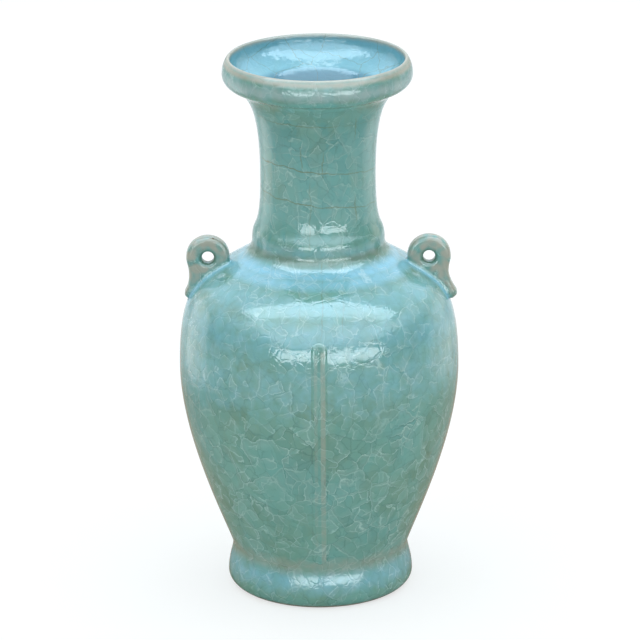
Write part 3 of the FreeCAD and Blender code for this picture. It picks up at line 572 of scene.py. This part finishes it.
def shoulderPatch(side):
    low, high = (height * mm for height in lug["patch"])
    points = [point for point in profilePoints(bodyStart, vessel["body"]) if low <= point.z <= high]
    half = math.radians(lug["patchAngle"])
    middle = 0.0 if side > 0 else math.pi
    bm = spinProfile(points, lug["patchSteps"], middle - half, 2 * half)
    probe = max(bm.faces, key=lambda face: abs(face.calc_center_median().x))
    if probe.normal.x * side < 0:
        bmesh.ops.reverse_faces(bm, faces=bm.faces)
    bmesh.ops.solidify(bm, geom=bm.faces[:], thickness=lug["patchThick"] * mm)
    return bm


def fused(bm, voxel):
    mesh = bpy.data.meshes.new("fuse")
    bm.to_mesh(mesh)
    bm.free()
    block = bpy.data.objects.new("fuse", mesh)
    bpy.context.scene.collection.objects.link(block)
    remesh = block.modifiers.new("fuse", "REMESH")
    remesh.mode = "VOXEL"
    remesh.voxel_size = voxel
    result = bmesh.new()
    result.from_object(block, bpy.context.evaluated_depsgraph_get())
    bpy.data.objects.remove(block)
    bpy.data.meshes.remove(mesh)
    return result


def makeLug(node, side, material, skin):
    bm = nodeMesh(node)
    patch = shoulderPatch(side)
    held = bpy.data.meshes.new("patch")
    patch.to_mesh(held)
    patch.free()
    bm.from_mesh(held)
    bpy.data.meshes.remove(held)
    bm = fused(bm, lug["voxel"] * mm)

    def above(point):
        spot, normal, _, _ = skin.find_nearest(point)
        return (point - spot).dot(normal)

    heights = {vert: above(vert.co) for vert in bm.verts}
    bmesh.ops.smooth_vert(bm, verts=bm.verts, factor=0.5, use_axis_x=True, use_axis_y=True, use_axis_z=True)
    corner = [vert for vert in bm.verts if -mm < heights[vert] < lug["fillReach"] * mm]
    for _ in range(lug["fillRounds"]):
        bmesh.ops.smooth_vert(bm, verts=corner, factor=0.5, use_axis_x=True, use_axis_y=True,
                              use_axis_z=True)
    out, up = lug["knobMoves"][node]
    knob = Vector((side * lug["knobCentre"][0], 0, lug["knobCentre"][1])) * mm
    for vert in bm.verts:
        near = math.exp(-((vert.co - knob).length / (lug["knobReach"] * mm)) ** 2)
        vert.co += Vector((side * out, 0, up)) * mm * near * min(max(heights[vert] / mm, 0), 1)
    for vert in bm.verts:
        spot, normal, _, _ = skin.find_nearest(vert.co)
        height = (vert.co - spot).dot(normal)
        low = min(max(1 - height / (lug["sink"] * mm), 0), 1)
        vert.co -= normal * lug["sink"] * mm * low
    bm.normal_update()
    layer = bm.verts.layers.float_color.new("glazeDepth")
    hole = Vector((side * lug["hole"][0], 0, lug["hole"][1])) * mm
    for vert in bm.verts:
        height = above(vert.co) / mm
        aside = math.hypot(vert.co.x - hole.x, vert.co.z - hole.z) / mm
        pool = lug["poolMost"] * math.exp(-(max(height, 0) / lug["poolReach"]) ** 2)
        # dark green round the hole: deeper glaze and painted shade
        deep = math.exp(-(max(aside - lug["holeRadius"], 0) / lug["deepReach"]) ** 2) * (1 - pool)
        rim = 1 - min(abs(vert.normal.y) / lug["rimSide"], 1)
        mottle = lug["mottle"] * noise.noise(vert.co / (lug["mottleSize"] * mm))
        thin = (lug["thin"] + lug["thinRim"] * rim + mottle) * (1 - deep)
        thin *= 1 - math.exp(-(max(height, 0) / lug["thinReach"]) ** 2)
        vert[layer] = (pool, thin, 0.0, lug["deepMost"] * deep)
    finishPiece("leftLug" if side < 0 else "rightLug", bm, material, "crackle_glaze", node)


lugTrees = [BVHTree.FromBMesh(nodeMesh(node)) for node in ("right_lug", "left_lug")]
skin = makeVessel(glazeMaterial, lugTrees)
makeLug("right_lug", 1, glazeMaterial, skin)
makeLug("left_lug", -1, glazeMaterial, skin)


# the ribs: a low strip of clay under the glaze, front and back, its glaze thin along both sides
rib = {
    "levels": (41.0, 210.0),  # heights of the two round ends' centres
    "halfWidth": 6.0,
    "height": 1.05,
    "shoulderWidth": 2.6,  # over which its side rises
    "sink": 0.3,
    "angle": 6.2,  # degrees each side
    "steps": 52,
    "thinRight": (0.2, 3.9, 0.50),  # thin glaze right of the middle: from, to and how thin
    "thinLeft": (0.6, 3.4, 0.33),
    "thinSoft": 0.9,  # mm over which it comes and goes
    "thinLow": 0.8,  # least share of it, low on the body
    "thinRise": (40, 90),  # mm, the height where that share would be nought, and the climb to one
    "thinTop": (214, 8),  # where it ends, and over how many mm
    "margin": (0.6, 9),  # room beyond the rib's sides and ends
    "bodySteps": (110, 80),
    "thickness": 1.5,
}


def makeRib(name, node, middle, material):
    runs = [(steps, *run[1:]) for steps, run in zip(rib["bodySteps"], vessel["body"])]
    sideRoom, endRoom = rib["margin"]
    low, high = ((level + sign * endRoom) * mm for level, sign in zip(rib["levels"], (-1, 1)))
    points = [point for point in profilePoints(bodyStart, runs) if low <= point.z <= high]
    half = math.radians(rib["angle"])
    bm = spinProfile(points, rib["steps"], middle - half, 2 * half)
    probe = next(iter(bm.faces))
    if probe.normal.dot(Vector((math.cos(middle), math.sin(middle), 0))) < 0:
        bmesh.ops.reverse_faces(bm, faces=bm.faces)
    bm.normal_update()
    layer = bm.verts.layers.float_color.new("glazeDepth")
    right = Vector((-math.sin(middle), math.cos(middle), 0))
    lowEnd, highEnd = (level * mm for level in rib["levels"])
    moves = {}
    for vert in bm.verts:
        across = vert.co.dot(right)
        along = vert.co.z - min(max(vert.co.z, lowEnd), highEnd)
        away = math.hypot(across, along) / mm
        rise = min(max((rib["halfWidth"] + sideRoom - away) / rib["shoulderWidth"], 0), 1)
        rise = rise * rise * (3 - 2 * rise)
        moves[vert] = vert.normal * (rise * (rib["height"] + rib["sink"]) - rib["sink"]) * mm
        near, far, share = rib["thinRight"] if across > 0 else rib["thinLeft"]
        ridge = min(max((abs(across) / mm - near) / rib["thinSoft"], 0), 1) * share
        ridge *= min(max((far + 1 - abs(across) / mm) / rib["thinSoft"], 0), 1)
        fade = min(max((vert.co.z / mm - rib["thinRise"][0]) / rib["thinRise"][1], rib["thinLow"]), 1)
        fade *= min(max((rib["thinTop"][0] - vert.co.z / mm) / rib["thinTop"][1], 0), 1)
        vert[layer] = (0.0, ridge * fade, 0.0, 0.0)
    for vert, move in moves.items():
        vert.co += move
    bmesh.ops.solidify(bm, geom=bm.faces[:], thickness=rib["thickness"] * mm)
    finishPiece(name, bm, material, "crackle_glaze", node)


makeRib("frontRib", "front_rib", -math.pi / 2, glazeMaterial)
makeRib("backRib", "back_rib", math.pi / 2, glazeMaterial)


# the bare clay underneath: bearing edge, inside of the foot ring and the floor slab
bareFoot = {
    "turnSteps": 160,
    "start": (0, 12.0),
    "runs": [(10, (52.4, 12.0)), (3, (53.4, 12.0), (54.0, 11.4), (54.0, 10.4)), (6, (54.0, 1.0)),
             (3, (54.0, 0.4), (54.4, 0.0), (55.0, 0.0)), (5, (60.9, 0.0)),
             (4, (61.8, 0.0), (62.8, 0.4), (63.3, 1.12)), (2, (61.0, 4.0)), (3, (58.5, 15.0)),
             (4, (0, 15.0))],
}


def makeBareFoot(material):
    bm = spinProfile(profilePoints(bareFoot["start"], bareFoot["runs"]), bareFoot["turnSteps"])
    finishPiece("bareFoot", bm, material, "bare_clay", "base_disc")


makeBareFoot(clayMaterial)
print("pieces made")


# floor, light and camera
studio = {
    "floorSize": 16.0,
    "floor": "#E4E5E5",
    "table": "#A58F7C",  # painted reflection: a browner floor that only gloss sees near the vase
    "tableReach": (0.42, 0.80),
    "floorTone": (0.985, 1.015),
    "floorGrain": 40.0,
    "floorShown": 0.6,  # share of the floor that the camera sees as plain white, the rest shows the shadow
    "white": 1.12,
    "fill": (0.47, 0.49, 0.50),  # even light from all round
    # what gloss reflects: the dark side of the room, the pale side behind, and the ceiling
    "roomFront": (0.15, 0.17, 0.17, 1.0),
    "roomBack": (1.09, 1.10, 1.12, 1.0),
    "ceiling": (1.70, 2.20, 2.80, 1.0),
    "behind": (0.25, 0.50),  # how squarely a ray goes back or up, from front to back and from wall to ceiling
    "overhead": (0.22, 0.50),
    "lamps": [
        # name, place, target, size, watts, colour, seen by matt surfaces, seen in gloss
        ("softOverhead", (0.1, 0.2, 3.0), (0.1, 0.2, 0), (5.0, 5.0), 126, (0.90, 0.98, 1.0), True, False),
        ("skyPanel", (0.15, -0.33, 2.24), (0.15, -0.33, 0), (4.7, 0.96), 96, (0.68, 0.86, 1.0), False, True),
        ("frontCeiling", (0.85, -4.1, 2.24), (0.85, -4.1, 0), (8.3, 6.6), 430, (0.8, 0.93, 1.0), False, True),
        ("skyStrip", (-0.05, 0.33, 2.24), (-0.05, 0.33, 0), (0.9, 0.10), 2.0, (0.78, 0.92, 1.0), False, True),
        ("leftPane", (-1.05, -2.7, 0.50), (-1.05, 0, 0.50), (1.75, 0.60), 28, (0.86, 0.95, 1.0), False, True),
        ("rightPane", (1.85, -2.7, 0.50), (1.85, 0, 0.50), (3.30, 0.60), 54, (0.86, 0.95, 1.0), False, True),
        ("leftCard", (-0.51, 0.24, 0.17), (0, 0, 0.17), (0.34, 0.34), 0.34, (1.0, 0.95, 0.94), False, True),
        ("rightCard", (0.51, 0.24, 0.17), (0, 0, 0.17), (0.34, 0.34), 0.18, (1.0, 0.97, 0.96), False, True),
    ],
}


def makeFloor():
    material, tree = emptyMaterial("paperSweepMatt")
    place = addNode(tree, "ShaderNodeTexCoord").outputs["Object"]
    grain = addNode(tree, "ShaderNodeTexNoise", {"Vector": place, "Scale": studio["floorGrain"],
                                                 "Detail": 4.0})
    tone = addNode(tree, "ShaderNodeMapRange", {"Value": grain.outputs["Fac"],
                                                "To Min": studio["floorTone"][0],
                                                "To Max": studio["floorTone"][1]})
    colour = addNode(tree, "ShaderNodeVectorMath", {0: linearColour(studio["floor"])[:3],
                                                    "Scale": tone.outputs[0]}, operation="SCALE")
    rays = addNode(tree, "ShaderNodeLightPath")
    away = addNode(tree, "ShaderNodeVectorMath", {0: place}, operation="LENGTH")
    near = addNode(tree, "ShaderNodeMapRange", {"Value": away.outputs["Value"],
                                                "From Min": studio["tableReach"][0],
                                                "From Max": studio["tableReach"][1],
                                                "To Min": 1.0, "To Max": 0.0})
    # the browner floor is shown to glossy rays only: a painted reflection in the glaze
    near = addNode(tree, "ShaderNodeMath", {0: near.outputs[0], 1: rays.outputs["Is Glossy Ray"]},
                   operation="MULTIPLY")
    seen = addNode(tree, "ShaderNodeMix", {0: near.outputs[0], 6: colour.outputs[0],
                                           7: linearColour(studio["table"])}, data_type="RGBA")
    paper = addNode(tree, "ShaderNodeBsdfPrincipled", {"Base Color": seen.outputs[2], "Roughness": 0.9,
                                                       "Specular IOR Level": 0.2})
    white = addNode(tree, "ShaderNodeEmission", {"Color": (1.0, 1.0, 1.0, 1.0),
                                                 "Strength": studio["white"]})
    shown = addNode(tree, "ShaderNodeMath", {0: rays.outputs["Is Camera Ray"], 1: studio["floorShown"]},
                    operation="MULTIPLY")
    shader = addNode(tree, "ShaderNodeMixShader", {0: shown.outputs[0], 1: paper.outputs[0],
                                                   2: white.outputs[0]})
    addNode(tree, "ShaderNodeOutputMaterial", {"Surface": shader.outputs[0]})
    bm = bmesh.new()
    bmesh.ops.create_grid(bm, x_segments=4, y_segments=4, size=studio["floorSize"] / 2)
    mesh = bpy.data.meshes.new("floor")
    bm.to_mesh(mesh)
    bm.free()
    mesh.materials.append(material)
    floor = bpy.data.objects.new("floor", mesh)
    bpy.context.scene.collection.objects.link(floor)


def makeWorld():
    world = bpy.data.worlds.new("studio")
    bpy.context.scene.world = world
    world.use_nodes = True
    tree = world.node_tree
    tree.nodes.clear()
    looking = addNode(tree, "ShaderNodeTexCoord").outputs["Generated"]
    axes = addNode(tree, "ShaderNodeSeparateXYZ", {0: looking})
    behind, overhead = (
        addNode(tree, "ShaderNodeMapRange", {"Value": axes.outputs[axis], "From Min": low, "From Max": high},
                interpolation_type="SMOOTHSTEP")
        for axis, (low, high) in ((1, studio["behind"]), (2, studio["overhead"])))
    walls = addNode(tree, "ShaderNodeMix", {0: behind.outputs[0], 6: studio["roomFront"],
                                            7: studio["roomBack"]}, data_type="RGBA")
    room = addNode(tree, "ShaderNodeMix", {0: overhead.outputs[0], 6: walls.outputs[2], 7: studio["ceiling"]},
                   data_type="RGBA")
    rays = addNode(tree, "ShaderNodeLightPath")
    fill = addNode(tree, "ShaderNodeMix", {0: rays.outputs["Is Glossy Ray"], 6: (*studio["fill"], 1.0),
                                           7: room.outputs[2]}, data_type="RGBA")
    seen = addNode(tree, "ShaderNodeMath", {0: rays.outputs["Is Camera Ray"],
                                            1: rays.outputs["Is Transmission Ray"]}, operation="MAXIMUM")
    shown = addNode(tree, "ShaderNodeMix", {0: seen.outputs[0], 6: fill.outputs[2], 7: (1.0, 1.0, 1.0, 1.0)},
                    data_type="RGBA")
    glow = addNode(tree, "ShaderNodeBackground", {"Color": shown.outputs[2], "Strength": 1.0})
    addNode(tree, "ShaderNodeOutputWorld", {"Surface": glow.outputs[0]})


def makeLamps():
    for name, place, target, size, watts, colour, matt, gloss in studio["lamps"]:
        data = bpy.data.lights.new(name, "AREA")
        data.shape = "RECTANGLE"
        data.size, data.size_y = size
        data.energy = watts
        data.color = colour
        lamp = bpy.data.objects.new(name, data)
        lamp.location = place
        lamp.rotation_euler = (Vector(target) - Vector(place)).to_track_quat("-Z", "Y").to_euler()
        lamp.visible_camera = False
        lamp.visible_diffuse = matt
        lamp.visible_glossy = gloss
        bpy.context.scene.collection.objects.link(lamp)


# metres, degrees below the level, degrees of turn, and mm
camera = {"place": (0.0008, -3.3505, 1.323), "down": 18.516, "roll": -0.37, "lens": 272.3}


def makeCamera():
    data = bpy.data.cameras.new("camera")
    data.sensor_width = 36
    data.lens = camera["lens"]
    data.clip_end = 60
    item = bpy.data.objects.new("camera", data)
    aim = Matrix.Rotation(math.radians(90 - camera["down"]), 4, "X")
    item.matrix_world = (Matrix.Translation(camera["place"]) @ aim
                         @ Matrix.Rotation(math.radians(camera["roll"]), 4, "Z"))
    bpy.context.scene.collection.objects.link(item)
    bpy.context.scene.camera = item


makeFloor()
makeWorld()
makeLamps()
makeCamera()
bpy.context.scene.view_settings.view_transform = "Standard"
print("studio made")
